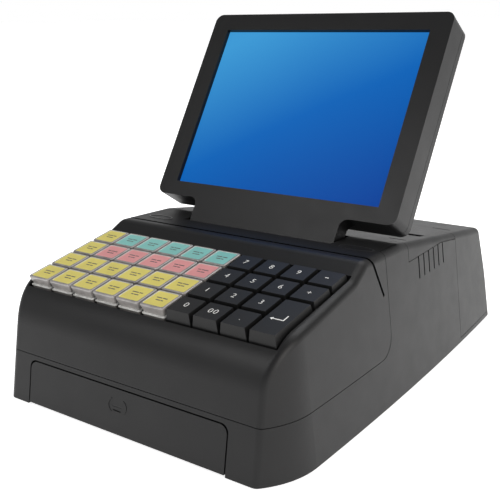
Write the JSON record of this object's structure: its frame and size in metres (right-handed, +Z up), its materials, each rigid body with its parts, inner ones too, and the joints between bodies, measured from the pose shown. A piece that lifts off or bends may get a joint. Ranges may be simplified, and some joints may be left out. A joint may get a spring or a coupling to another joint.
{
  "type": "cash register",
  "caption": "Compact wedge-shaped cash register with a sloping keyboard, card swipe slot, tilting colour display on a neck, front door and rear receipt printer.",
  "frame": {"origin": "on the table, under the middle of the housing", "axes": "+X to the operator's right, +Y from the operator towards the back, +Z up"},
  "size_m": [0.2208, 0.3235, 0.2344],
  "materials": {
    "case_plastic": "fine-textured charcoal moulding",
    "display_plastic": "fine-textured charcoal moulding, slightly smoother",
    "screen": "flat display glass over a lit blue picture",
    "steel": "turned and pressed steel",
    "reader_plastic": "black carrier with a polished head",
    "circuit_board": "green solder mask",
    "connector_plastic": "black connector moulding",
    "mechanism_metal": "grey chassis",
    "rubber": "matt black rubber",
    "paper": "smooth thermal paper",
    "switch_plastic": "black switch body",
    "key_black": "black keycap with white figures",
    "key_yellow": "clear cap over a yellow card",
    "key_cyan": "clear cap over a pale blue card",
    "key_pink": "clear cap over a pink card"
  },
  "bodies": {
    "base": {"base_housing": "case_plastic", "top_cover": "case_plastic", "rear_top_cover": "case_plastic", "rear_cover": "case_plastic", "card_reader": "reader_plastic", "keyboard_board": "circuit_board", "key_switches": "switch_plastic", "hinge_brackets": "steel", "hinge_shaft": "steel", "main_board": "circuit_board", "power_inlet": "connector_plastic", "printer_mechanism": "mechanism_metal", "rubber_feet": "rubber", "board_screws": "steel"},
    "screen": {"monitor_bezel": "display_plastic", "monitor_back_cover": "display_plastic", "lcd_panel": "screen"},
    "door": {"front_door": "case_plastic"},
    "lid": {"paper_lid": "case_plastic"},
    "platen": {"platen_roller": "rubber"},
    "roll": {"paper_roll": "paper"},
    "key_enter": {"key_enter": "key_black"},
    "key_row1_column01": {"key_row1_column01": "key_yellow"},
    "key_row1_column02": {"key_row1_column02": "key_yellow"},
    "key_row1_column03": {"key_row1_column03": "key_yellow"},
    "key_row1_column04": {"key_row1_column04": "key_yellow"},
    "key_row1_column05": {"key_row1_column05": "key_yellow"},
    "key_row1_column06": {"key_row1_column06": "key_yellow"},
    "key_row1_column07": {"key_row1_column07": "key_black"},
    "key_row1_column08": {"key_row1_column08": "key_black"},
    "key_row1_column09": {"key_row1_column09": "key_black"},
    "key_row2_column01": {"key_row2_column01": "key_yellow"},
    "key_row2_column02": {"key_row2_column02": "key_yellow"},
    "key_row2_column03": {"key_row2_column03": "key_yellow"},
    "key_row2_column04": {"key_row2_column04": "key_yellow"},
    "key_row2_column05": {"key_row2_column05": "key_yellow"},
    "key_row2_column06": {"key_row2_column06": "key_yellow"},
    "key_row2_column07": {"key_row2_column07": "key_black"},
    "key_row2_column08": {"key_row2_column08": "key_black"},
    "key_row2_column09": {"key_row2_column09": "key_black"},
    "key_row3_column01": {"key_row3_column01": "key_yellow"},
    "key_row3_column02": {"key_row3_column02": "key_pink"},
    "key_row3_column03": {"key_row3_column03": "key_pink"},
    "key_row3_column04": {"key_row3_column04": "key_pink"},
    "key_row3_column05": {"key_row3_column05": "key_pink"},
    "key_row3_column06": {"key_row3_column06": "key_pink"},
    "key_row3_column07": {"key_row3_column07": "key_black"},
    "key_row3_column08": {"key_row3_column08": "key_black"},
    "key_row3_column09": {"key_row3_column09": "key_black"},
    "key_row3_column10": {"key_row3_column10": "key_black"},
    "key_row4_column01": {"key_row4_column01": "key_yellow"},
    "key_row4_column02": {"key_row4_column02": "key_cyan"},
    "key_row4_column03": {"key_row4_column03": "key_cyan"},
    "key_row4_column04": {"key_row4_column04": "key_cyan"},
    "key_row4_column05": {"key_row4_column05": "key_cyan"},
    "key_row4_column06": {"key_row4_column06": "key_cyan"},
    "key_row4_column07": {"key_row4_column07": "key_black"},
    "key_row4_column08": {"key_row4_column08": "key_black"},
    "key_row4_column09": {"key_row4_column09": "key_black"},
    "key_row4_column10": {"key_row4_column10": "key_black"}
  },
  "joints": [
    {"name": "screen_tilt", "type": "hinge", "parent": "base", "child": "screen", "pos_m": [0, -0.0185, 0.089], "axis": [1, 0, 0], "range_deg": [-4, 30]},
    {"name": "door_swing", "type": "hinge", "parent": "base", "child": "door", "pos_m": [-0.002, -0.159, 0.0042], "axis": [1, 0, 0], "range_deg": [0, 88]},
    {"name": "lid_swing", "type": "hinge", "parent": "base", "child": "lid", "pos_m": [0, 0.0808, 0.08016], "axis": [-1, 0, 0], "range_deg": [0, 95]},
    {"name": "platen_spin", "type": "hinge", "parent": "lid", "child": "platen", "pos_m": [0, 0.031, 0.079], "axis": [1, 0, 0], "continuous": true},
    {"name": "roll_spin", "type": "hinge", "parent": "base", "child": "roll", "pos_m": [0, 0.055, 0.052], "axis": [1, 0, 0], "continuous": true},
    {"name": "key_enter_press", "type": "slide", "parent": "base", "child": "key_enter", "axis": [0, -0.1924, 0.9813], "range_m": [-0.0038, 0], "stiffness_N_per_m": 150, "springref_m": 0.001},
    {"name": "key_row1_column01_press", "type": "slide", "parent": "base", "child": "key_row1_column01", "axis": [0, -0.1924, 0.9813], "range_m": [-0.0038, 0], "stiffness_N_per_m": 150, "springref_m": 0.001},
    {"name": "key_row1_column02_press", "type": "slide", "parent": "base", "child": "key_row1_column02", "axis": [0, -0.1924, 0.9813], "range_m": [-0.0038, 0], "stiffness_N_per_m": 150, "springref_m": 0.001},
    {"name": "key_row1_column03_press", "type": "slide", "parent": "base", "child": "key_row1_column03", "axis": [0, -0.1924, 0.9813], "range_m": [-0.0038, 0], "stiffness_N_per_m": 150, "springref_m": 0.001},
    {"name": "key_row1_column04_press", "type": "slide", "parent": "base", "child": "key_row1_column04", "axis": [0, -0.1924, 0.9813], "range_m": [-0.0038, 0], "stiffness_N_per_m": 150, "springref_m": 0.001},
    {"name": "key_row1_column05_press", "type": "slide", "parent": "base", "child": "key_row1_column05", "axis": [0, -0.1924, 0.9813], "range_m": [-0.0038, 0], "stiffness_N_per_m": 150, "springref_m": 0.001},
    {"name": "key_row1_column06_press", "type": "slide", "parent": "base", "child": "key_row1_column06", "axis": [0, -0.1924, 0.9813], "range_m": [-0.0038, 0], "stiffness_N_per_m": 150, "springref_m": 0.001},
    {"name": "key_row1_column07_press", "type": "slide", "parent": "base", "child": "key_row1_column07", "axis": [0, -0.1924, 0.9813], "range_m": [-0.0038, 0], "stiffness_N_per_m": 150, "springref_m": 0.001},
    {"name": "key_row1_column08_press", "type": "slide", "parent": "base", "child": "key_row1_column08", "axis": [0, -0.1924, 0.9813], "range_m": [-0.0038, 0], "stiffness_N_per_m": 150, "springref_m": 0.001},
    {"name": "key_row1_column09_press", "type": "slide", "parent": "base", "child": "key_row1_column09", "axis": [0, -0.1924, 0.9813], "range_m": [-0.0038, 0], "stiffness_N_per_m": 150, "springref_m": 0.001},
    {"name": "key_row2_column01_press", "type": "slide", "parent": "base", "child": "key_row2_column01", "axis": [0, -0.1924, 0.9813], "range_m": [-0.0038, 0], "stiffness_N_per_m": 150, "springref_m": 0.001},
    {"name": "key_row2_column02_press", "type": "slide", "parent": "base", "child": "key_row2_column02", "axis": [0, -0.1924, 0.9813], "range_m": [-0.0038, 0], "stiffness_N_per_m": 150, "springref_m": 0.001},
    {"name": "key_row2_column03_press", "type": "slide", "parent": "base", "child": "key_row2_column03", "axis": [0, -0.1924, 0.9813], "range_m": [-0.0038, 0], "stiffness_N_per_m": 150, "springref_m": 0.001},
    {"name": "key_row2_column04_press", "type": "slide", "parent": "base", "child": "key_row2_column04", "axis": [0, -0.1924, 0.9813], "range_m": [-0.0038, 0], "stiffness_N_per_m": 150, "springref_m": 0.001},
    {"name": "key_row2_column05_press", "type": "slide", "parent": "base", "child": "key_row2_column05", "axis": [0, -0.1924, 0.9813], "range_m": [-0.0038, 0], "stiffness_N_per_m": 150, "springref_m": 0.001},
    {"name": "key_row2_column06_press", "type": "slide", "parent": "base", "child": "key_row2_column06", "axis": [0, -0.1924, 0.9813], "range_m": [-0.0038, 0], "stiffness_N_per_m": 150, "springref_m": 0.001},
    {"name": "key_row2_column07_press", "type": "slide", "parent": "base", "child": "key_row2_column07", "axis": [0, -0.1924, 0.9813], "range_m": [-0.0038, 0], "stiffness_N_per_m": 150, "springref_m": 0.001},
    {"name": "key_row2_column08_press", "type": "slide", "parent": "base", "child": "key_row2_column08", "axis": [0, -0.1924, 0.9813], "range_m": [-0.0038, 0], "stiffness_N_per_m": 150, "springref_m": 0.001},
    {"name": "key_row2_column09_press", "type": "slide", "parent": "base", "child": "key_row2_column09", "axis": [0, -0.1924, 0.9813], "range_m": [-0.0038, 0], "stiffness_N_per_m": 150, "springref_m": 0.001},
    {"name": "key_row3_column01_press", "type": "slide", "parent": "base", "child": "key_row3_column01", "axis": [0, -0.1924, 0.9813], "range_m": [-0.0038, 0], "stiffness_N_per_m": 150, "springref_m": 0.001},
    {"name": "key_row3_column02_press", "type": "slide", "parent": "base", "child": "key_row3_column02", "axis": [0, -0.1924, 0.9813], "range_m": [-0.0038, 0], "stiffness_N_per_m": 150, "springref_m": 0.001},
    {"name": "key_row3_column03_press", "type": "slide", "parent": "base", "child": "key_row3_column03", "axis": [0, -0.1924, 0.9813], "range_m": [-0.0038, 0], "stiffness_N_per_m": 150, "springref_m": 0.001},
    {"name": "key_row3_column04_press", "type": "slide", "parent": "base", "child": "key_row3_column04", "axis": [0, -0.1924, 0.9813], "range_m": [-0.0038, 0], "stiffness_N_per_m": 150, "springref_m": 0.001},
    {"name": "key_row3_column05_press", "type": "slide", "parent": "base", "child": "key_row3_column05", "axis": [0, -0.1924, 0.9813], "range_m": [-0.0038, 0], "stiffness_N_per_m": 150, "springref_m": 0.001},
    {"name": "key_row3_column06_press", "type": "slide", "parent": "base", "child": "key_row3_column06", "axis": [0, -0.1924, 0.9813], "range_m": [-0.0038, 0], "stiffness_N_per_m": 150, "springref_m": 0.001},
    {"name": "key_row3_column07_press", "type": "slide", "parent": "base", "child": "key_row3_column07", "axis": [0, -0.1924, 0.9813], "range_m": [-0.0038, 0], "stiffness_N_per_m": 150, "springref_m": 0.001},
    {"name": "key_row3_column08_press", "type": "slide", "parent": "base", "child": "key_row3_column08", "axis": [0, -0.1924, 0.9813], "range_m": [-0.0038, 0], "stiffness_N_per_m": 150, "springref_m": 0.001},
    {"name": "key_row3_column09_press", "type": "slide", "parent": "base", "child": "key_row3_column09", "axis": [0, -0.1924, 0.9813], "range_m": [-0.0038, 0], "stiffness_N_per_m": 150, "springref_m": 0.001},
    {"name": "key_row3_column10_press", "type": "slide", "parent": "base", "child": "key_row3_column10", "axis": [0, -0.1924, 0.9813], "range_m": [-0.0038, 0], "stiffness_N_per_m": 150, "springref_m": 0.001},
    {"name": "key_row4_column01_press", "type": "slide", "parent": "base", "child": "key_row4_column01", "axis": [0, -0.1924, 0.9813], "range_m": [-0.0038, 0], "stiffness_N_per_m": 150, "springref_m": 0.001},
    {"name": "key_row4_column02_press", "type": "slide", "parent": "base", "child": "key_row4_column02", "axis": [0, -0.1924, 0.9813], "range_m": [-0.0038, 0], "stiffness_N_per_m": 150, "springref_m": 0.001},
    {"name": "key_row4_column03_press", "type": "slide", "parent": "base", "child": "key_row4_column03", "axis": [0, -0.1924, 0.9813], "range_m": [-0.0038, 0], "stiffness_N_per_m": 150, "springref_m": 0.001},
    {"name": "key_row4_column04_press", "type": "slide", "parent": "base", "child": "key_row4_column04", "axis": [0, -0.1924, 0.9813], "range_m": [-0.0038, 0], "stiffness_N_per_m": 150, "springref_m": 0.001},
    {"name": "key_row4_column05_press", "type": "slide", "parent": "base", "child": "key_row4_column05", "axis": [0, -0.1924, 0.9813], "range_m": [-0.0038, 0], "stiffness_N_per_m": 150, "springref_m": 0.001},
    {"name": "key_row4_column06_press", "type": "slide", "parent": "base", "child": "key_row4_column06", "axis": [0, -0.1924, 0.9813], "range_m": [-0.0038, 0], "stiffness_N_per_m": 150, "springref_m": 0.001},
    {"name": "key_row4_column07_press", "type": "slide", "parent": "base", "child": "key_row4_column07", "axis": [0, -0.1924, 0.9813], "range_m": [-0.0038, 0], "stiffness_N_per_m": 150, "springref_m": 0.001},
    {"name": "key_row4_column08_press", "type": "slide", "parent": "base", "child": "key_row4_column08", "axis": [0, -0.1924, 0.9813], "range_m": [-0.0038, 0], "stiffness_N_per_m": 150, "springref_m": 0.001},
    {"name": "key_row4_column09_press", "type": "slide", "parent": "base", "child": "key_row4_column09", "axis": [0, -0.1924, 0.9813], "range_m": [-0.0038, 0], "stiffness_N_per_m": 150, "springref_m": 0.001},
    {"name": "key_row4_column10_press", "type": "slide", "parent": "base", "child": "key_row4_column10", "axis": [0, -0.1924, 0.9813], "range_m": [-0.0038, 0], "stiffness_N_per_m": 150, "springref_m": 0.001}
  ],
  "couplings": [
    {"joint": "roll_spin", "follows": "platen_spin", "ratio": 0.22727}
  ]
}
